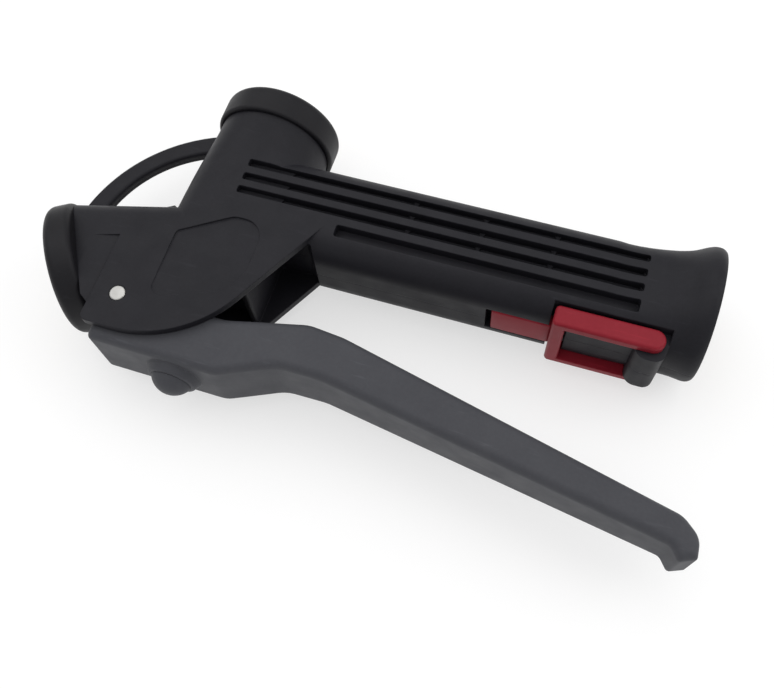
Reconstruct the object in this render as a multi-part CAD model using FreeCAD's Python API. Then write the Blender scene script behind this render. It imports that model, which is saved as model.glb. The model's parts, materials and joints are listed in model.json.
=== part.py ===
"""Fire hose nozzle: a lever-operated shut-off gun, lying on its far side.

Frame, in millimetres: the origin is the centre of the inlet mouth, +X leaves the inlet along the
grip, +Y points away from the lever, and +Z is up, square to the plane that the shells part on.
"""
import FreeCAD, Part
import math
import os
from FreeCAD import Vector

# ---- driving dimensions ----
body_half = 17.5  # half the width across the cheeks and the grip

grip_top = 15.7
grip_bottom = -22.3
grip_corner = 10.7
grip_wall_side = 5.0
grip_cavity_top = 12.4
grip_cavity_bottom = -12.0
grip_left = -176.0
flare_left = -36.0

back_round = 9.5

valve_x = -174.3
neck_radius = 21.8
neck_top = 28.7
cap_radius = 23.6
cap_height = 10.0
cap_skirt = 1.9  # how far the cap ring laps over the neck
barrel_radius = 13.4

outlet_angle = 30.0  # the outlet points this far below -X
outlet_level = -15.0  # where the outlet axis crosses the valve axis
ring_start = 55.3  # along the outlet axis, from the valve axis
ring_length = 10.2
ring_radius = 24.2

pivot = (-198.6, -57.4)
pivot_pin_radius = 3.0
cheek_gap_half = 14.5

latch_pivot = (-17.3, -21.7)
latch_inner = 11.8
latch_outer = 15.3
tongue_half = 6.2

inlet_port = 12.06  # minor radius of a G 3/4 thread
outlet_port = 9.32  # minor radius of a G 1/2 thread
port_depth = 14.0
port_relief = 3.0  # the wider room past each thread, where its gasket lies
spigot_radius = 15.6
spigot_room = 13.6
tube_radius = 9.0
tube_bore = 7.0

screw_places = [(-194.5, -44.0), (-134.5, -18.3), (-107.0, -18.3), (-80.0, -18.3)]
screw_depth = 5.4  # from the far shell's flat side to the head
screw_head_radius = 2.7
screw_head_height = 2.6
groove_levels = [6.8, 0.8, -5.1]
groove_width = 3.1
groove_depth = 4.0
groove_shallow = 3.0  # over the webs and the valve
groove_start = -174.0
deep_start = -157.5
groove_end = -24.6
web_places = [-109.0, -83.0, -57.0]
web_half = 0.6
label_tilt = -1.0  # degrees
step_tilt = 4.5  # degrees

fit_gap = 0.05

parts_made = {}

# ---- helpers ----
Z_AXIS = Vector(0, 0, 1)
Y_AXIS = Vector(0, 1, 0)
X_AXIS = Vector(1, 0, 0)


def outline(corners):
    """A closed face from corners (x, y) or (x, y, radius), with each radius a tangent arc."""
    points = [Vector(c[0], c[1], 0) for c in corners]
    radii = [c[2] if len(c) > 2 else 0 for c in corners]
    count = len(points)
    bends = []
    for i in range(count):
        here = points[i]
        if radii[i] == 0:
            bends.append((here, None, here))
            continue
        back = (points[i - 1] - here).normalize()
        ahead = (points[(i + 1) % count] - here).normalize()
        half_angle = back.getAngle(ahead) / 2
        reach = radii[i] / math.tan(half_angle)
        middle = (back + ahead).normalize()
        depth = radii[i] / math.sin(half_angle) - radii[i]
        bends.append((here + back * reach, here + middle * depth, here + ahead * reach))
    edges = []
    for i in range(count):
        start, middle, end = bends[i]
        if middle is not None:
            edges.append(Part.Arc(start, middle, end).toShape())
        following = bends[(i + 1) % count][0]
        if (following - end).Length > 1e-6:
            edges.append(Part.LineSegment(end, following).toShape())
    return Part.Face(Part.Wire(edges))


def prism(corners, low, high):
    """The outline in the XY plane, pulled up from z = low to z = high."""
    face = outline(corners)
    face.translate(Vector(0, 0, low))
    return face.extrude(Vector(0, 0, high - low))


def both_sides(corners, half):
    return prism(corners, -half, half)


def rod(radius, start, end):
    """A round bar between two points."""
    start = Vector(*start)
    run = Vector(*end) - start
    return Part.makeCylinder(radius, run.Length, start, run)


def turned(profile, base, direction):
    """A profile of (along, radius) corners, turned about the line through base along direction."""
    face = outline(profile)
    solid = face.revolve(Vector(0, 0, 0), X_AXIS, 360)
    solid.Placement = FreeCAD.Placement(Vector(*base), FreeCAD.Rotation(X_AXIS, Vector(*direction)))
    return solid


def hexagon(across_flats, start, end):
    """A hexagonal bar between two points."""
    corner = across_flats / math.sqrt(3)
    run = Vector(*end) - Vector(*start)
    points = [
        Vector(0, corner * math.cos(math.radians(60 * i)), corner * math.sin(math.radians(60 * i)))
        for i in range(7)
    ]
    solid = Part.Face(Part.makePolygon(points)).extrude(Vector(run.Length, 0, 0))
    solid.Placement = FreeCAD.Placement(Vector(*start), FreeCAD.Rotation(X_AXIS, run))
    return solid


def box(low, high):
    size = [h - l for l, h in zip(low, high)]
    return Part.makeBox(*size, Vector(*low))


def joined(shapes):
    return shapes[0].multiFuse(shapes[1:]).removeSplitter()


def without(shape, tools):
    return shape.cut(Part.Compound(tools))


def rounded(shape, radius, chosen):
    """The shape with a fillet on every edge that chosen picks, or as it was if none will take."""
    edges = [e for e in shape.Edges if chosen(e)]
    try:
        result = shape.makeFillet(radius, edges)
    except Part.OCCError:
        return shape
    return result if result.isValid() and result.Volume > 0 else shape


def save(name, shape):
    parts_made[name] = shape


# ---- places along the outlet axis ----
outlet_way = Vector(-math.cos(math.radians(outlet_angle)), -math.sin(math.radians(outlet_angle)), 0)
outlet_up = Vector(outlet_way.y, -outlet_way.x, 0)


def on_outlet(along, up=0.0, z=0.0):
    """A point this far along the outlet axis from the valve axis, and this far above it."""
    point = Vector(valve_x, outlet_level, z) + outlet_way * along + outlet_up * up
    return (point.x, point.y, point.z)


def on_valve(level):
    return (valve_x, level, 0.0)


outlet_direction = tuple(outlet_way)
ring_end = ring_start + ring_length


# ---- casing ----
def grip_section(half, low, high, corner, start, end):
    """A rounded rectangle across the grip, as a bar from start to end."""
    face = outline([(low, -half, corner), (high, -half, corner), (high, half, corner), (low, half, corner)])
    bar = face.extrude(Vector(0, 0, end - start))
    turn = FreeCAD.Rotation(Vector(0, 1, 0), Vector(0, 0, 1), Vector(1, 0, 0), "ZXY")
    bar.Placement = FreeCAD.Placement(Vector(start, 0, 0), turn)
    return bar


def head_plate():
    """The flat-sided block that carries the cheeks, the label panels and the outlet's root."""
    back_left = on_outlet(ring_start, 20.6)
    back_right = (-186.0, -12.9)
    chin = on_outlet(ring_start, -21.5)
    plate = both_sides(
        [
            (-207.8, -70.3, 2.5),
            (-170.3, -70.3, 44.0),
            (-137.6, -11.4),
            (-137.6, 4.0),
            (-176.0, 4.0),
            back_right,
            (back_left[0], back_left[1]),
            (chin[0], chin[1]),
            (-207.8, -63.5),
        ],
        body_half,
    )
    # a step beside each cheek, deepest along its right edge and fading out to the left
    step_left = -217.0
    step = [(step_left, -38.0), (-207.8, -35.2), (-207.8, -72.0), (step_left, -72.0)]
    near_step = prism(step, body_half, body_half + 2)
    near_step.rotate(Vector(step_left, -38.0, body_half), Y_AXIS, step_tilt)
    far_step = near_step.mirror(Vector(0, 0, 0), Z_AXIS)

    # the back's edges are rounded by taking away what lies outside a rounded bar along it
    run = Vector(back_right[0] - back_left[0], back_right[1] - back_left[1], 0)
    place = FreeCAD.Placement(Vector(*back_left), FreeCAD.Rotation(X_AXIS, run))
    length = run.Length
    sharp = grip_section(body_half + 2, -12.0, 2.0, 0, -4.0, length)
    soft = grip_section(body_half, -40.0, 0.0, back_round, -5.0, length + 1)
    waste = sharp.cut(soft)
    waste.Placement = place
    return without(plate, [near_step, far_step, waste])


def hook():
    """The hanging eye: an arched bar from the outlet's root to the neck, under the cap."""
    outer_start = Vector(-235.0, -21.5, 0)
    outer_end = Vector(-188.0, 27.6, 0)
    inner_end = Vector(-188.0, 18.8, 0)
    inner_start = Vector(-226.2, -17.0, 0)
    edges = [
        Part.Arc(outer_start, Vector(-218.9, 10.4, 0), outer_end).toShape(),
        Part.LineSegment(outer_end, inner_end).toShape(),
        Part.Arc(inner_end, Vector(-212.8, 6.3, 0), inner_start).toShape(),
        Part.LineSegment(inner_start, Vector(-219.0, -31.0, 0)).toShape(),
        Part.LineSegment(Vector(-219.0, -31.0, 0), Vector(-229.0, -33.0, 0)).toShape(),
        Part.LineSegment(Vector(-229.0, -33.0, 0), outer_start).toShape(),
    ]
    face = Part.Face(Part.Wire(edges))
    face.translate(Vector(0, 0, -2.5))
    bar = face.extrude(Vector(0, 0, 5.0))
    return rounded(bar, 1.4, lambda e: e.Length > 15 and abs(abs(e.CenterOfMass.z) - 2.5) < 0.01)


def smooth_block(sections, place):
    """A smooth body through rounded rectangles: each is (along, left, right, half, corner radius)."""
    wires = []
    for along, left, right, half, corner in sections:
        low_side = [(left, -half, corner), (right, -half, corner)]
        high_side = [(right, half, corner), (left, half, corner)]
        wire = outline(low_side + high_side).OuterWire
        wire.translate(Vector(0, 0, along))
        wires.append(wire)
    block = Part.makeLoft(wires, True, False)
    block.Placement = place
    return block


def flare():
    """The bell at the inlet end, which stops the hand: the grip's section swells into a circle."""
    sections = [
        (flare_left, grip_bottom, grip_top, body_half, grip_corner),
        (-27.0, grip_bottom - 0.1, grip_top + 0.3, body_half + 0.1, grip_corner + 1.0),
        (-18.0, grip_bottom - 0.5, grip_top + 2.1, body_half + 1.2, 14.5),
        (-9.0, -23.6, 21.4, 21.4, 20.0),
        (-3.6, -24.3, 24.2, 24.2, 24.0),
        (-1.4, -24.2, 24.2, 24.2, 24.05),
        (0.0, -23.4, 23.4, 23.4, 23.25),
    ]
    turn = FreeCAD.Rotation(Vector(0, 1, 0), Vector(0, 0, 1), Vector(1, 0, 0), "ZXY")
    return smooth_block(sections, FreeCAD.Placement(Vector(0, 0, 0), turn))


def neck():
    """The socket of the cap, which swells from the head's flat sides into a circle."""
    sections = [
        (-25.0, -22.2, 22.0, body_half, 11.0),
        (-8.0, -22.1, 22.0, body_half, 12.0),
        (6.0, -22.0, 22.0, body_half, 13.5),
        (16.0, -21.9, 22.0, body_half + 1.4, 17.0),
        (24.0, -21.9, 21.9, 20.8, 20.6),
        (neck_top, -neck_radius, neck_radius, neck_radius, neck_radius - 0.2),
    ]
    turn = FreeCAD.Rotation(Vector(1, 0, 0), Vector(0, 0, -1), Vector(0, 1, 0), "ZXY")
    return smooth_block(sections, FreeCAD.Placement(Vector(valve_x, 0, 0), turn))


def latch_lug():
    x, y = latch_pivot
    return both_sides(
        [(x - 5.8, y + 5.0), (x - 5.4, y - 6.2, 4.6), (x + 4.6, y - 6.2, 3.6), (x + 6.0, y + 5.0)],
        latch_inner - 0.3,
    )


def latch_pocket():
    """The recess that the latch folds into, with room for its arms to swing."""
    top = latch_pivot[1] + 4.7
    floor = grip_bottom - 12.0
    side = latch_inner - 0.3
    tongue_room = tongue_half + 0.8
    cuts = [
        box((latch_pivot[0] - 34.9, floor, -body_half - 1), (latch_pivot[0] - 28.6, top, body_half + 1)),
        box((latch_pivot[0] - 57.4, floor, -tongue_room), (latch_pivot[0] - 34.0, top - 0.6, tongue_room)),
    ]
    for low, high in ((side, body_half + 1), (-body_half - 1, -side)):
        cuts.append(box((latch_pivot[0] - 34.9, floor, low), (latch_pivot[0] + 5.4, top, high)))
    return cuts


def slot(start, end, low, high, depth, side):
    """A round-ended slot in the casing's side, from the surface down to depth."""
    outer = side * (body_half + 3)
    inner = side * (body_half - depth)
    corners = [(start, low, 0.9), (end, low, 0.9), (end, high, 0.9), (start, high, 0.9)]
    return prism(corners, min(outer, inner), max(outer, inner))


def grip_grooves():
    """Slots on both sides of the grip: three narrow ones with sunken webs, and a wide one below."""
    cuts = []
    for side in (1, -1):
        cuts.append(slot(-133.5, groove_end, -14.5, -9.8, groove_depth, side))
        for level in groove_levels:
            low = level - groove_width / 2
            high = level + groove_width / 2
            cuts.append(slot(groove_start, groove_end, low, high, groove_shallow, side))
            ends = [deep_start] + web_places + [groove_end]
            for start, end in zip(ends, ends[1:]):
                cuts.append(slot(start + web_half, end - web_half, low, high, groove_depth, side))
    return cuts


def label_panels():
    """A shallow recess on each cheek, deepest at its top left corner and fading out to the lower right."""
    corners = [
        (-188.2, -56.0, 4.0),
        (-188.6, -28.0, 2.5),
        (-170.2, -16.8, 6.0),
        (-158.0, -16.8, 8.0),
        (-158.0, -44.0, 14.0),
    ]
    fade_point = Vector(-158.0, -50.0, body_half)
    near_cut = prism(corners, body_half, body_half + 2)
    near_cut.rotate(fade_point, Vector(1, 1, 0), label_tilt)
    far_cut = near_cut.mirror(Vector(0, 0, 0), Z_AXIS)
    return [near_cut, far_cut]


def casing_hollows():
    """Everything that the casing leaves room for."""
    lever_room = both_sides(
        [
            (-209.2, -84.0),
            (-209.2, -48.6, 2.0),
            (-191.0, -48.6, 2.0),
            (-189.0, -38.4, 2.0),
            (-160.2, -38.4),
            (-160.2, -42.2, 0.8),
            (-157.4, -42.2, 0.8),
            (-157.4, -16.0, 2.0),
            (-142.5, -16.0, 3.0),
            (-134.5, -30.0),
            (-134.5, -84.0),
        ],
        cheek_gap_half,
    )
    gland_room = rod(9.9, on_valve(-42.0), on_valve(barrel_bottom))
    barrel_room = rod(barrel_radius + 0.3, on_valve(barrel_bottom - 0.5), on_valve(neck_top + 1))
    outlet_room = rod(11.4, on_outlet(0.0), on_outlet(46.0))
    outlet_end_room = rod(spigot_room, on_outlet(45.0), on_outlet(ring_end + 2))
    socket_room = rod(13.4, on_valve(0.0), (-148.0, 0.0, 0.0))
    cavity_half = body_half - grip_wall_side
    tube_room = grip_section(cavity_half, grip_cavity_bottom, grip_cavity_top, 4.0, -148.2, -25.0)
    collar_room = rod(13.4, (-27.0, 0, 0), (-19.0, 0, 0))
    fitting_room = rod(15.1, (-20.0, 0, 0), (5.0, 0, 0))
    ring_room = ring_of(ring_radius + 1.5, spigot_radius, on_outlet(ring_start), on_outlet(ring_end + 8))
    past_spigot = rod(spigot_radius + 1, on_outlet(ring_end - 1.2), on_outlet(ring_end + 8))
    lever_room = lever_room.cut(rod(spigot_radius, on_outlet(20.0), on_outlet(ring_end)))
    valve_rooms = [gland_room, barrel_room, outlet_room, outlet_end_room, socket_room]
    tube_rooms = [tube_room, collar_room, fitting_room]
    return [lever_room, ring_room, past_spigot] + valve_rooms + tube_rooms


def casing():
    """The whole casing before it is parted at z = 0."""
    grip = grip_section(body_half, grip_bottom, grip_top, grip_corner, grip_left, flare_left)
    spigot = rod(spigot_radius, on_outlet(20), on_outlet(ring_end))
    solid = joined([head_plate(), grip, neck(), spigot])
    solid = joined([solid, flare()])
    solid = joined([solid, hook(), latch_lug()])
    solid = without(solid, casing_hollows() + latch_pocket() + grip_grooves() + label_panels())
    pin_hole = rod(pivot_pin_radius + 0.01, (*pivot, -30), (*pivot, 30))
    latch_hole = rod(1.61, (*latch_pivot, -30), (*latch_pivot, 30))
    return without(solid, [pin_hole, latch_hole])


def shells():
    whole = casing()
    reach = 400
    far = whole.common(box((-reach, -reach, -reach), (reach, reach, 0)))
    near = whole.common(box((-reach, -reach, 0), (reach, reach, reach)))
    head_rest = -body_half + screw_depth + screw_head_height + 0.1
    for x, y in screw_places:
        clearance_hole = rod(1.7, (x, y, -30), (x, y, 1))
        head_room = rod(screw_head_radius + 0.4, (x, y, -30), (x, y, head_rest))
        far = without(far, [clearance_hole, head_room])
        near = without(near, [rod(1.5, (x, y, -1), (x, y, 12.0))])
    save("near_shell", near)
    save("far_shell", far)


# ---- collars, cap and ports ----
def outlet_ring():
    save(
        "outlet_ring",
        turned(
            [
                (0, 15.8),
                (0, ring_radius, 2.4),
                (ring_length, ring_radius, 3.2),
                (ring_length, 16.6, 0.8),
                (ring_length - 2.0, 15.8),
            ],
            on_outlet(ring_start),
            outlet_direction,
        ),
    )


def cap():
    ring = turned(
        [
            (0, 12.2),
            (0, neck_radius + 0.2),
            (-cap_skirt, neck_radius + 0.2),
            (-cap_skirt, cap_radius, 1.2),
            (cap_height, cap_radius, 3.0),
            (cap_height, 17.0, 1.0),
            (2.4, 17.0),
            (2.4, 12.2),
        ],
        on_valve(neck_top),
        (0, 1, 0),
    )
    save("cap_ring", ring)
    plug = turned(
        [(0, 0), (0, 11.4), (15.6, 11.4), (15.6, 16.4, 0.8), (20.4, 16.4, 1.2), (20.4, 0)],
        on_valve(neck_top + 2.45 - 15.6),
        (0, 1, 0),
    )
    spring_pocket = rod(8.4, on_valve(10.0), on_valve(22.0))
    key = hexagon(12.0, on_valve(neck_top + 2.0), on_valve(neck_top + 12.0))
    save("cap_plug", without(plug, [spring_pocket, key]))
    save("cap_seal", o_ring(12.5, 0.9, on_valve(27.8), (0, 1, 0)))


def o_ring(mean_radius, wire_radius, centre, direction):
    return Part.makeTorus(mean_radius, wire_radius, Vector(*centre), Vector(*direction))


def ring_of(outer, inner, start, end):
    """A plain ring between two points."""
    return rod(outer, start, end).cut(rod(inner, start, end))


# ---- valve ----
seat_top = -5.0
poppet_seal_top = -3.0
stem_end = -57.0
barrel_bottom = -36.0
barrel_top = 26.8


def valve_body():
    barrel = rod(barrel_radius, on_valve(barrel_bottom), on_valve(barrel_top))
    socket = rod(13.0, (valve_x, 0, 0), (-149.0, 0, 0))
    solid = joined([barrel, socket])
    chamber = rod(10.5, on_valve(-8.0), on_valve(barrel_top + 1))
    chamber_thread = rod(11.45, on_valve(15.0), on_valve(barrel_top + 1))
    seal_seat = rod(14.2, on_valve(barrel_top - 0.1), on_valve(barrel_top + 1))
    throat = rod(6.0, on_valve(-15.0), on_valve(-7.0))
    lower_room = rod(7.0, on_valve(-24.0), on_valve(-12.0))
    guide = rod(3.06, on_valve(barrel_bottom - 1), on_valve(-20.0))
    gland_pocket = rod(6.2, on_valve(barrel_bottom - 1), on_valve(-29.0))
    inlet_bore = rod(7.2, (valve_x, 0, 0), (-148.0, 0, 0))
    tube_socket = rod(tube_radius + fit_gap, (-157.0, 0, 0), (-148.0, 0, 0))
    outlet_bore = rod(6.5, on_outlet(0), on_outlet(ring_end))
    outlet_socket = rod(8.05, on_outlet(9.0), on_outlet(30.0))
    hollows = [chamber, chamber_thread, seal_seat, throat, lower_room, guide, gland_pocket]
    save("valve_body", without(solid, hollows + [inlet_bore, tube_socket, outlet_bore, outlet_socket]))


def outlet():
    """The outlet tube, which screws into the valve body and ends in a G 1/2 port."""
    outlet_face = ring_end - 1.0
    port_floor = outlet_face - port_depth
    tail = rod(8.0, on_outlet(9.1), on_outlet(19.0))
    pipe = rod(11.0, on_outlet(18.5), on_outlet(outlet_face))
    outlet_end = rod(spigot_room - 0.2, on_outlet(46.5), on_outlet(outlet_face))
    barrel = rod(barrel_radius + 0.1, on_valve(-60.0), on_valve(20.0))
    bore = rod(6.5, on_outlet(0), on_outlet(ring_end))
    gasket_room = rod(10.4, on_outlet(port_floor - port_relief), on_outlet(port_floor))
    port = rod(outlet_port, on_outlet(port_floor), on_outlet(ring_end))
    head = joined([pipe, outlet_end]).cut(barrel)
    save("outlet_fitting", without(joined([head, tail]), [bore, gasket_room, port]))
    gasket_start = port_floor - port_relief + 0.05
    save("outlet_gasket", ring_of(10.3, 7.0, on_outlet(gasket_start), on_outlet(gasket_start + 2.0)))


def valve_seat():
    profile = [(0, 6.0), (0, 10.4), (2.0, 10.4), (2.0, 8.0), (3.0, 7.2), (3.0, 6.0)]
    save("valve_seat", turned(profile, on_valve(-8.0), (0, 1, 0)))


def poppet():
    body = turned(
        [
            (0, 2.6),
            (0, 8.6, 0.6),
            (3.4, 8.6, 0.6),
            (3.4, 4.6),
            (9.0, 4.6, 0.6),
            (9.0, 2.6),
        ],
        on_valve(poppet_seal_top + 0.02),
        (0, 1, 0),
    )
    save("poppet", body)
    save("poppet_seal", ring_of(8.4, 3.1, on_valve(seat_top + 0.02), on_valve(poppet_seal_top)))
    nut_base = poppet_seal_top + 9.05
    nut = hexagon(8.0, on_valve(nut_base), on_valve(nut_base + 3.0))
    save("poppet_nut", without(nut, [rod(2.56, on_valve(nut_base - 1), on_valve(nut_base + 4))]))


def valve_stem():
    shaft = turned(
        [
            (0, 0),
            (0, 2.4),
            (0.6, 3.0),
            (poppet_seal_top - stem_end - 0.02, 3.0),
            (poppet_seal_top - stem_end - 0.02, 2.5),
            (poppet_seal_top - stem_end + 12.6, 2.5, 0.5),
            (poppet_seal_top - stem_end + 12.6, 0),
        ],
        on_valve(stem_end),
        (0, 1, 0),
    )
    save("valve_stem", shaft)


def valve_spring():
    """A compression spring between the poppet's shoulder and the cap plug's pocket."""
    low = poppet_seal_top + 3.6
    high = 21.4
    wire = 1.1
    turns = 4.5
    coil_radius = 6.9
    height = high - low - 2 * wire
    path = Part.makeHelix(height / turns, height, coil_radius)
    section = Part.Wire(Part.makeCircle(wire, Vector(coil_radius, 0, 0), Y_AXIS))
    coil = Part.Wire(path).makePipeShell([section], True, True)
    place = FreeCAD.Placement(Vector(*on_valve(low + wire)), FreeCAD.Rotation(Z_AXIS, Y_AXIS))
    coil.Placement = place
    save("valve_spring", coil)


def stem_gland():
    save("stem_packing", ring_of(6.1, 3.05, on_valve(-32.4), on_valve(-29.05)))
    spigot = rod(6.1, on_valve(-36.1), on_valve(-32.5))
    head = hexagon(16.0, on_valve(-41.6), on_valve(-36.05))
    nut = joined([spigot, head])
    save("gland_nut", without(nut, [rod(3.08, on_valve(-45.0), on_valve(-30.0))]))


# ---- inlet ----
def inlet():
    tube = ring_of(tube_radius, tube_bore, (-156.9, 0, 0), (-22.0, 0, 0))
    save("inlet_tube", tube)
    fitting = rod(15.0, (-19.9, 0, 0), (0, 0, 0))
    shank = rod(13.3, (-26.0, 0, 0), (-19.0, 0, 0))
    collar = hexagon(26.0, (-30.5, 0, 0), (-25.5, 0, 0)).common(box((-31, -11.8, -12.3), (0, 11.8, 12.3)))
    solid = joined([fitting, shank, collar])
    hollows = [
        rod(inlet_port, (-port_depth, 0, 0), (1, 0, 0)),
        rod(13.0, (-port_depth - port_relief, 0, 0), (-port_depth, 0, 0)),
        rod(tube_radius + fit_gap, (-31, 0, 0), (-21.9, 0, 0)),
        rod(tube_bore, (-31, 0, 0), (-port_depth, 0, 0)),
    ]
    save("inlet_fitting", without(solid, hollows))
    save("inlet_gasket", ring_of(12.8, 7.5, (-port_depth - 2.9, 0, 0), (-port_depth - 0.7, 0, 0)))


# ---- lever ----
lever_half_root = 14.0
lever_half_middle = 13.4
lever_half_tip = 10.4
lever_wall = 2.8
lever_floor = 2.6
boss_bottom = -77.6


def lever_side():
    """The lever's side outline, from its nose under the cheeks to its curled tip."""
    return [
        (-205.0, -74.4, 2.0),
        (-156.5, -74.8, 10.0),
        (-136.5, -66.0, 16.0),
        (-121.0, -66.0, 30.0),
        (1.2, -86.0, 3.5),
        (4.4, -90.2, 1.4),
        (10.0, -87.9, 1.2),
        (9.7, -81.0, 7.0),
        (3.4, -75.6, 9.0),
        (-118.0, -48.8, 14.0),
        (-131.0, -47.6, 14.0),
        (-161.0, -54.6, 20.0),
        (-196.0, -49.9, 4.0),
        (-205.0, -52.5, 4.0),
    ]


def lever_plan(inset):
    """The lever's outline from above its back, narrowing to the tip, as a block along Y."""
    stations = [
        (-215.0 + inset, lever_half_root),
        (-150.0, lever_half_root),
        (-115.0, lever_half_middle),
        (-27.0, 11.4),
        (20.0 - inset, lever_half_tip),
    ]
    near = [(x, half - inset, 30.0 if 0 < i < 4 else 0.0) for i, (x, half) in enumerate(stations)]
    far = [(x, -y, r) for x, y, r in reversed(near)]
    face = outline(near + far)
    block = face.extrude(Vector(0, 0, 120))
    block.Placement = FreeCAD.Placement(Vector(0, -20, 0), FreeCAD.Rotation(X_AXIS, 90))
    return block


def lever_channel():
    """The hollow of the lever, open towards the grip."""
    hollow = both_sides(
        [
            (-188.0, -74.4 + lever_floor, 2.0),
            (-157.1, -74.8 + lever_floor, 9.0),
            (-136.8, -66.0 + lever_floor, 14.0),
            (-121.0, -66.0 + lever_floor, 30.0),
            (0.4, -86.0 + lever_floor, 2.0),
            (0.4, -60.0),
            (-100.0, -30.0),
            (-188.0, -30.0),
        ],
        40,
    )
    return hollow.common(lever_plan(lever_wall))


def lever():
    outer = both_sides(lever_side(), lever_half_root).common(lever_plan(0.0))

    def bottom_edge(edge):
        middle = edge.CenterOfMass
        low_side = middle.y < -64.0 - max(0.0, (middle.x + 125.0) * 0.165)
        return low_side and abs(middle.z) > 9.0 and edge.BoundBox.XLength > 2.0 and middle.x < 2.0

    outer = rounded(outer, 3.2, bottom_edge)
    hub = rod(7.4, (*pivot, -lever_half_root), (*pivot, lever_half_root))
    boss_profile = [(0, 0), (0, 8.6, 1.0), (3.0, 10.4, 1.5), (12.6, 10.4), (12.6, 0)]
    boss = turned(boss_profile, on_valve(boss_bottom), (0, 1, 0))
    hollow = lever_channel().cut(Part.Compound([hub, boss]))
    solid = joined([outer, boss])
    front_relief = both_sides([(-215, -84), (-215, -30), (-206.2, -30), (-206.2, -84)], 20)
    bushed_hole = rod(4.5, (*pivot, -20), (*pivot, 20))
    screw_hole = rod(3.02, on_valve(-84), on_valve(-50))
    solid = without(solid, [hollow, front_relief, bushed_hole, screw_hole])
    save("lever", solid)
    bush_end = lever_half_root - 0.02
    bushes = [
        ring_of(4.48, pivot_pin_radius + fit_gap, (*pivot, side * 4.0), (*pivot, side * bush_end))
        for side in (1, -1)
    ]
    save("lever_bushes", Part.Compound(bushes))


def lever_screw():
    """The adjusting screw that lifts the stem, its lock nut inside the lever and its round cap."""
    tip = -57.3
    shank = turned(
        [(0, 0), (0, 3.0), (20.0, 3.0), (20.9, 1.6, 2.0), (20.9, 0)],
        on_valve(tip - 20.9),
        (0, 1, 0),
    )
    save("adjusting_screw", shank)
    nut_base = boss_bottom + 12.65
    nut = hexagon(10.0, on_valve(nut_base), on_valve(nut_base + 3.2))
    save("lock_nut", without(nut, [rod(3.02, on_valve(nut_base - 1), on_valve(nut_base + 5))]))
    dome = Part.makeSphere(8.2, Vector(valve_x, boss_bottom + 3.4, 0))
    dome = dome.common(box((valve_x - 10, boss_bottom - 10, -10), (valve_x + 10, boss_bottom - 0.02, 10)))
    save("screw_cap", without(dome, [rod(3.04, on_valve(tip - 20.92), on_valve(boss_bottom + 1))]))


def lever_pin():
    shaft = turned(
        [(0, 0), (0, 3.0), (0.9, 3.0), (0.9, 2.4), (1.9, 2.4), (1.9, 3.0), (37.2, 3.0, 0.7), (37.2, 0)],
        (*pivot, -body_half - 2.0),
        (0, 0, 1),
    )
    groove = [(0, 2.42), (0, 5.4), (0.85, 5.4), (0.85, 2.42)]
    clip = turned(groove, (*pivot, -body_half - 1.05), (0, 0, 1))
    mouth = box((pivot[0] - 1.7, pivot[1] - 8, -body_half - 2), (pivot[0] + 1.7, pivot[1], -body_half + 1))
    save("lever_pin", shaft)
    save("pin_clip", clip.cut(mouth))


# ---- latch ----
def latch():
    """The loop with a tongue that folds along the grip, or swings down to the lever."""
    x, y = latch_pivot
    arm = [
        (x - 34.0, y - 3.7, 1.6),
        (x + 3.9, y - 3.7, 3.8),
        (x + 3.9, y + 4.0, 3.8),
        (x - 34.0, y + 4.0, 1.6),
    ]
    near_arm = prism(arm, latch_inner, latch_outer)
    far_arm = prism(arm, -latch_outer, -latch_inner)
    bar = both_sides(
        [
            (x - 34.0, y - 3.7, 1.6),
            (x - 29.2, y - 3.7, 1.0),
            (x - 29.2, y + 4.0, 1.0),
            (x - 34.0, y + 4.0, 1.6),
        ],
        latch_outer,
    )
    tongue = both_sides(
        [(x - 55.0, y + 1.2, 1.0), (x - 33.0, y + 1.2), (x - 33.0, y + 3.7), (x - 55.0, y + 3.7, 1.0)],
        tongue_half,
    )
    solid = joined([near_arm, far_arm, bar, tongue])

    def outer_edge(edge):
        middle = edge.CenterOfMass
        return abs(abs(middle.z) - latch_outer) < 0.01

    solid = rounded(solid, 1.3, outer_edge)
    hole = rod(1.66, (x, y, -latch_outer + 1.2), (x, y, latch_outer - 1.2))
    save("latch", without(solid, [hole]))
    save("latch_pin", rod(1.6, (x, y, -latch_outer + 1.4), (x, y, latch_outer - 1.4)))


# ---- fasteners and seals ----
def shell_screws():
    screws = []
    head_low = -body_half + screw_depth
    length = 23.4
    for x, y in screw_places:
        head_edge = [(0, 0), (0, screw_head_radius, 0.7), (screw_head_height, screw_head_radius)]
        profile = head_edge + [(screw_head_height, 1.46), (length, 1.46, 0.8), (length, 0)]
        head = turned(profile, (x, y, head_low), (0, 0, 1))
        recess = hexagon(2.5, (x, y, head_low - 0.1), (x, y, head_low + 1.5))
        screws.append(head.cut(recess))
    save("shell_screws", Part.Compound(screws))


shells()
outlet_ring()
cap()
valve_body()
valve_seat()
poppet()
valve_stem()
valve_spring()
stem_gland()
outlet()
inlet()
lever()
lever_screw()
lever_pin()
latch()
shell_screws()

os.makedirs("parts", exist_ok=True)
for name, shape in parts_made.items():
    shape.exportStep("parts/" + name + ".step")
    print(name, "solids", len(shape.Solids), "valid", shape.isValid(), "volume", round(shape.Volume))
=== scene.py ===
"""The fire hose nozzle's looks: finishes, floor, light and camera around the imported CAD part."""

import json

import bmesh
import bpy
from mathutils import Matrix, Vector


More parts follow.
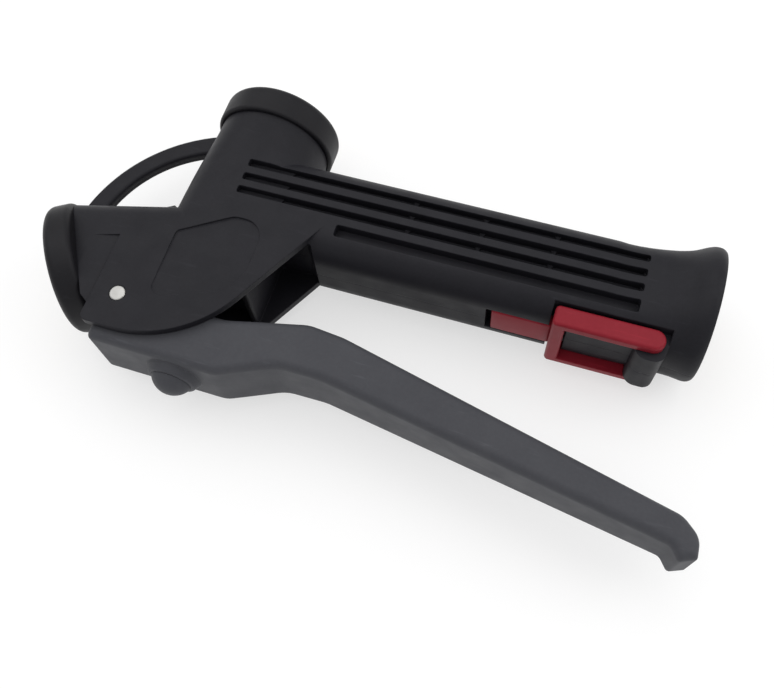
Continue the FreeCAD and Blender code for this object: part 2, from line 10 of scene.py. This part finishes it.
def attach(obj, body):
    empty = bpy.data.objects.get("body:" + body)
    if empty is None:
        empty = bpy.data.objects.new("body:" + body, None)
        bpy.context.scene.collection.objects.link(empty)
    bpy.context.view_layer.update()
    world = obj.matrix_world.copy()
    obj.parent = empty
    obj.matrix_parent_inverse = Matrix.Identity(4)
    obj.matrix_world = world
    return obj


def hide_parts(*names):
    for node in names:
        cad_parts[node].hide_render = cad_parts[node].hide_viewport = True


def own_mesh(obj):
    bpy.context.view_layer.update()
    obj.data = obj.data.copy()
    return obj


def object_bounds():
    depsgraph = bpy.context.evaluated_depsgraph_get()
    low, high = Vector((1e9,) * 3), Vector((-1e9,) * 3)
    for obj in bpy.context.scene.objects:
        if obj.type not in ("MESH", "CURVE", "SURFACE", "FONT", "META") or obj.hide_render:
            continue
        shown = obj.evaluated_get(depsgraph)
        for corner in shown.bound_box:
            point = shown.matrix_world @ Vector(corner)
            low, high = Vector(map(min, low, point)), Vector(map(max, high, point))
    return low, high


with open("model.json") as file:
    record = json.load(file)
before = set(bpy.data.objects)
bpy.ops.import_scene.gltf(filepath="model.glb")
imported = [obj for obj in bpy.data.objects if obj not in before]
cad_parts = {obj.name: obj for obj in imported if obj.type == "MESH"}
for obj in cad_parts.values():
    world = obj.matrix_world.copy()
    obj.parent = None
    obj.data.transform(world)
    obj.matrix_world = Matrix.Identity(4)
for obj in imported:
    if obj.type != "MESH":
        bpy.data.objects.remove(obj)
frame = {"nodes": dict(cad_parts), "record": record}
cad_low, cad_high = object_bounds()
nodes = frame["nodes"]

FLOOR = cad_low[2]  # the height of the part's lowest point


# ---- finishes ----
# Edges and depths are in metres. A noise is finer the larger its scale is.
CLOUD_SCALE = 55.0
SPECK_SCALE = 900.0
GLOSS_SCALE = 120.0
# The paler patches along the edges are both wear and a painted edge highlight.
EDGE_WEAR_HIGHLIGHT_SCALE = 160.0
SCUFF_SCALE = 520.0  # across the marks, which are stretched the other way
GRAIN_SCALE = 2600.0
GRAIN_DEPTH = 0.00006
MOULDED_EDGE = 0.0006
STAIN_SCALE = 240.0
POLISH_SCALE = 700.0
METAL_GRAIN_SCALE = 3000.0
METAL_GRAIN_STRENGTH = 0.15
METAL_GRAIN_DEPTH = 0.00004
TURNED_EDGE = 0.0002


def material(name):
    """A new material, with its nodes and its links."""
    mat = bpy.data.materials.new(name)
    mat.use_nodes = True
    return mat, mat.node_tree.nodes, mat.node_tree.links


def noise(tree_nodes, links, place, scale, detail=2.0, rough=0.5):
    """A noise laid through the piece, at this scale."""
    made = tree_nodes.new("ShaderNodeTexNoise")
    made.inputs["Scale"].default_value = scale
    made.inputs["Detail"].default_value = detail
    made.inputs["Roughness"].default_value = rough
    links.new(place, made.inputs["Vector"])
    return made


def spread(tree_nodes, links, source, low, high):
    """A noise value, about 0.5, mapped to the range low to high."""
    made = tree_nodes.new("ShaderNodeMapRange")
    made.inputs["From Min"].default_value = 0.3
    made.inputs["From Max"].default_value = 0.7
    made.inputs["To Min"].default_value = low
    made.inputs["To Max"].default_value = high
    links.new(source, made.inputs["Value"])
    return made


def soft_edges(tree_nodes, radius):
    """The direction that the surface would face if each edge were rounded off to this radius."""
    made = tree_nodes.new("ShaderNodeBevel")
    made.samples = 4
    made.inputs["Radius"].default_value = radius
    return made


def shade_grain(tree_nodes, links, shader, edges, grain, strength, depth):
    """Shades the surface as if this noise stood out of it, on top of its soft edges. Its shape stays."""
    bump = tree_nodes.new("ShaderNodeBump")
    bump.inputs["Strength"].default_value = strength
    bump.inputs["Distance"].default_value = depth
    links.new(grain.outputs["Fac"], bump.inputs["Height"])
    links.new(edges.outputs[0], bump.inputs["Normal"])
    links.new(bump.outputs[0], shader.inputs["Normal"])


def worn_and_highlit_edges(tree_nodes, links, place, edges, amount):
    """Where the surface turns sharply it is handled most, and it is painted paler there as both wear and a
    painted highlight: a patchy mask of the edges, up to amount.
    """
    flat = tree_nodes.new("ShaderNodeNewGeometry").outputs["Normal"]
    match = tree_nodes.new("ShaderNodeVectorMath")
    match.operation = "DOT_PRODUCT"
    links.new(edges.outputs[0], match.inputs[0])
    links.new(flat, match.inputs[1])
    sharp = tree_nodes.new("ShaderNodeMapRange")
    sharp.inputs["From Min"].default_value = 0.995
    sharp.inputs["From Max"].default_value = 0.86
    sharp.inputs["To Max"].default_value = amount
    links.new(match.outputs["Value"], sharp.inputs["Value"])
    patches = noise(tree_nodes, links, place, EDGE_WEAR_HIGHLIGHT_SCALE, 4.0, 0.65)
    mask = tree_nodes.new("ShaderNodeMath")
    mask.operation = "MULTIPLY"
    mask.use_clamp = True
    links.new(sharp.outputs[0], mask.inputs[0])
    links.new(spread(tree_nodes, links, patches.outputs["Fac"], 0.1, 1.0).outputs[0], mask.inputs[1])
    return mask.outputs[0]


def scuffs(tree_nodes, links, place, amount):
    """Faint long rub marks along the part, thin in one direction."""
    stretch = tree_nodes.new("ShaderNodeMapping")
    stretch.inputs["Rotation"].default_value = (0.0, 0.0, 0.35)
    stretch.inputs["Scale"].default_value = (0.12, 1.0, 1.0)
    links.new(place, stretch.inputs["Vector"])
    lines = noise(tree_nodes, links, stretch.outputs[0], SCUFF_SCALE, 3.0, 0.7)
    marks = tree_nodes.new("ShaderNodeMapRange")
    marks.inputs["From Min"].default_value = 0.62
    marks.inputs["From Max"].default_value = 0.74
    marks.inputs["To Max"].default_value = amount
    links.new(lines.outputs["Fac"], marks.inputs["Value"])
    return marks.outputs[0]


def moulded(name, light, dark, roughness, grain, specular=0.18, wear_and_highlight_amount=0.5):
    """A moulded plastic: mottled colour, uneven gloss, fine grain, soft edges painted paler as both wear and
    a painted highlight, and rub marks.
    """
    mat, tree_nodes, links = material(name)
    shader = tree_nodes["Principled BSDF"]
    place = tree_nodes.new("ShaderNodeTexCoord").outputs["Object"]
    cloud = noise(tree_nodes, links, place, CLOUD_SCALE, 4.0, 0.6)
    speck = noise(tree_nodes, links, place, SPECK_SCALE, 2.0)
    blend = tree_nodes.new("ShaderNodeMath")
    blend.operation = "ADD"
    links.new(spread(tree_nodes, links, cloud.outputs["Fac"], 0.0, 0.6).outputs[0], blend.inputs[0])
    links.new(spread(tree_nodes, links, speck.outputs["Fac"], 0.0, 0.4).outputs[0], blend.inputs[1])
    ramp = tree_nodes.new("ShaderNodeValToRGB")
    ramp.color_ramp.elements[0].color = (*dark, 1)
    ramp.color_ramp.elements[1].color = (*light, 1)
    links.new(blend.outputs[0], ramp.inputs[0])
    edges = soft_edges(tree_nodes, MOULDED_EDGE)
    wear_and_highlight_mix = tree_nodes.new("ShaderNodeMath")
    wear_and_highlight_mix.operation = "MAXIMUM"
    links.new(worn_and_highlit_edges(tree_nodes, links, place, edges, wear_and_highlight_amount), wear_and_highlight_mix.inputs[0])
    links.new(scuffs(tree_nodes, links, place, wear_and_highlight_amount * 0.35), wear_and_highlight_mix.inputs[1])
    # Paler colour on the edges and in the rub marks: the rub marks are wear, and the paler edges are both
    # wear and a painted highlight.
    paler = tree_nodes.new("ShaderNodeMix")
    paler.data_type = "RGBA"
    links.new(wear_and_highlight_mix.outputs[0], paler.inputs[0])
    links.new(ramp.outputs[0], paler.inputs[6])
    paler.inputs[7].default_value = (*[min(1.0, 2.2 * c + 0.008) for c in light], 1)
    links.new(paler.outputs[2], shader.inputs["Base Color"])
    gloss = noise(tree_nodes, links, place, GLOSS_SCALE, 3.0)
    links.new(
        spread(tree_nodes, links, gloss.outputs["Fac"], roughness - 0.05, roughness + 0.06).outputs[0],
        shader.inputs["Roughness"],
    )
    shader.inputs["Specular IOR Level"].default_value = specular
    fine = noise(tree_nodes, links, place, GRAIN_SCALE, 3.0, 0.6)
    shade_grain(tree_nodes, links, shader, edges, fine, grain, GRAIN_DEPTH)
    return mat


def metal(name, light, dark, roughness):
    """A turned metal: uneven colour and gloss, a fine grain and slightly soft edges."""
    mat, tree_nodes, links = material(name)
    shader = tree_nodes["Principled BSDF"]
    shader.inputs["Metallic"].default_value = 1.0
    place = tree_nodes.new("ShaderNodeTexCoord").outputs["Object"]
    stain = noise(tree_nodes, links, place, STAIN_SCALE, 4.0, 0.6)
    ramp = tree_nodes.new("ShaderNodeValToRGB")
    ramp.color_ramp.elements[0].position = 0.3
    ramp.color_ramp.elements[1].position = 0.7
    ramp.color_ramp.elements[0].color = (*dark, 1)
    ramp.color_ramp.elements[1].color = (*light, 1)
    links.new(stain.outputs["Fac"], ramp.inputs[0])
    links.new(ramp.outputs[0], shader.inputs["Base Color"])
    gloss = noise(tree_nodes, links, place, POLISH_SCALE, 3.0)
    links.new(
        spread(tree_nodes, links, gloss.outputs["Fac"], roughness - 0.06, roughness + 0.08).outputs[0],
        shader.inputs["Roughness"],
    )
    edges = soft_edges(tree_nodes, TURNED_EDGE)
    fine = noise(tree_nodes, links, place, METAL_GRAIN_SCALE, 3.0)
    shade_grain(tree_nodes, links, shader, edges, fine, METAL_GRAIN_STRENGTH, METAL_GRAIN_DEPTH)
    return mat


finishes = {
    "shell": moulded("casing_black", (0.0136, 0.0132, 0.0172), (0.0098, 0.0096, 0.0126), 0.50, 0.35),
    "collar": moulded("collar_black", (0.0104, 0.0100, 0.0124), (0.0080, 0.0076, 0.0094), 0.47, 0.2),
    "lever": moulded("lever_grey", (0.0600, 0.0610, 0.0690), (0.0490, 0.0500, 0.0575), 0.52, 0.3),
    "latch": moulded("latch_red", (0.2400, 0.0150, 0.0260), (0.2050, 0.0110, 0.0200), 0.40, 0.15, 0.14),
    "seal": moulded("seal_black", (0.0120, 0.0120, 0.0120), (0.0090, 0.0090, 0.0090), 0.6, 0.1),
    "seat": moulded("seat_white", (0.60, 0.59, 0.56), (0.55, 0.54, 0.51), 0.45, 0.1),
    "bush": moulded("bush_cream", (0.50, 0.48, 0.40), (0.45, 0.43, 0.36), 0.45, 0.1),
    "brass": metal("brass_turned", (0.80, 0.60, 0.30), (0.72, 0.52, 0.25), 0.30),
    "steel": metal("steel_turned", (0.46, 0.455, 0.44), (0.36, 0.355, 0.34), 0.34),
}
slots = {entry["node"]: entry["material_slot"] for entry in frame["record"]["subparts"]}
for name, piece in nodes.items():
    piece.data.materials.clear()
    piece.data.materials.append(finishes[slots[name]])


# ---- spring ----
# It shortens as the valve lifts, so a copy that can be squashed stands in for the CAD node.
cad_spring = nodes["valve_spring"]
spring = bpy.data.objects.new("spring_coil", cad_spring.data.copy())
spring.matrix_world = cad_spring.matrix_world
bpy.context.scene.collection.objects.link(spring)
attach(spring, "body")
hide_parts("valve_spring")
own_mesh(spring)


# ---- latch ----
# The soft-edged thumb pad that closes round the latch's tongue.
PAD_LOW = Vector((-0.0727, -0.0225, -0.0068))
PAD_HIGH = Vector((-0.0510, -0.0179, 0.0068))
PAD_EDGE = 0.0009
pad_shape = bmesh.new()
bmesh.ops.create_cube(pad_shape, size=1.0)
for corner in pad_shape.verts:
    corner.co = [low + (at + 0.5) * (high - low) for at, low, high in zip(corner.co, PAD_LOW, PAD_HIGH)]
bmesh.ops.bevel(pad_shape, geom=pad_shape.edges[:], offset=PAD_EDGE, segments=4, profile=0.5, affect="EDGES")
pad_mesh = bpy.data.meshes.new("latch_pad")
pad_shape.to_mesh(pad_mesh)
pad_shape.free()
for face in pad_mesh.polygons:
    face.use_smooth = True
pad_mesh.materials.append(finishes["latch"])
pad = bpy.data.objects.new("latch_pad", pad_mesh)
bpy.context.scene.collection.objects.link(pad)
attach(pad, "latch")


# ---- floor ----
FLOOR_SIZE = 24.0


def plain(name, colour, roughness, glow):
    """An even surface that also gives off a little light of its own."""
    mat, tree_nodes, _ = material(name)
    shader = tree_nodes["Principled BSDF"]
    shader.inputs["Base Color"].default_value = (*colour, 1)
    shader.inputs["Roughness"].default_value = roughness
    shader.inputs["Emission Color"].default_value = (1, 1, 1, 1)
    shader.inputs["Emission Strength"].default_value = glow
    return mat


bpy.ops.mesh.primitive_plane_add(size=FLOOR_SIZE, location=(-0.1, -0.04, FLOOR))
floor = bpy.context.object
floor.name = "floor"
floor.data.materials.append(plain("floor_white", (0.40, 0.40, 0.40), 0.85, 0.60))


# ---- light ----
world = bpy.data.worlds.new("studio")
bpy.context.scene.world = world
world.use_nodes = True
sky = world.node_tree
sky.nodes["Background"].inputs["Color"].default_value = (1, 1, 1, 1)
sky_way = sky.nodes.new("ShaderNodeTexCoord")
sky_slope = sky.nodes.new("ShaderNodeVectorMath")
sky_slope.operation = "DOT_PRODUCT"
sky_slope.inputs[1].default_value = (0.0, 0.42, 0.85)  # paler overhead and on the grip's side
sky_level = sky.nodes.new("ShaderNodeMapRange")
sky_level.inputs["From Min"].default_value = -0.42
sky_level.inputs["From Max"].default_value = 0.90
sky_level.inputs["To Min"].default_value = 0.52
sky_level.inputs["To Max"].default_value = 0.76
sky.links.new(sky_way.outputs["Generated"], sky_slope.inputs[0])
sky.links.new(sky_slope.outputs["Value"], sky_level.inputs["Value"])
sky.links.new(sky_level.outputs[0], sky.nodes["Background"].inputs["Strength"])


LIGHT_TARGET = (-0.1, -0.03, 0)


def softbox(name, place, size, power):
    """A square area light that looks at the part."""
    light = bpy.data.lights.new(name, "AREA")
    light.shape = "RECTANGLE"
    light.size = size
    light.size_y = size
    light.energy = power
    lamp = bpy.data.objects.new(name, light)
    bpy.context.scene.collection.objects.link(lamp)
    lamp.location = place
    way = Vector(LIGHT_TARGET) - Vector(place)
    lamp.rotation_euler = way.to_track_quat("-Z", "Y").to_euler()


softbox("key_light", (-0.45, 0.25, 1.10), 1.6, 7.0)
softbox("side_light", (0.80, 0.30, 0.80), 0.8, 3.0)
bpy.context.scene.view_settings.view_transform = "Standard"

# ---- camera ----
right = Vector((0.9507, 0.3055, -0.0539)).normalized()
back = Vector((0.1736, -0.3798, 0.9087)).normalized()
up = back.cross(right).normalized()
right = up.cross(back).normalized()
CAMERA_PLACE = (-0.04946, -0.16382, 0.29077)
camera_data = bpy.data.cameras.new("camera")
camera_data.sensor_fit = "HORIZONTAL"
camera_data.sensor_width = 36.0
camera_data.lens = 41.8
camera = bpy.data.objects.new("camera", camera_data)
bpy.context.scene.collection.objects.link(camera)
turn = Matrix((right, up, back)).transposed().to_4x4()
camera.matrix_world = Matrix.Translation(CAMERA_PLACE) @ turn
bpy.context.scene.camera = camera

bpy.context.view_layer.update()
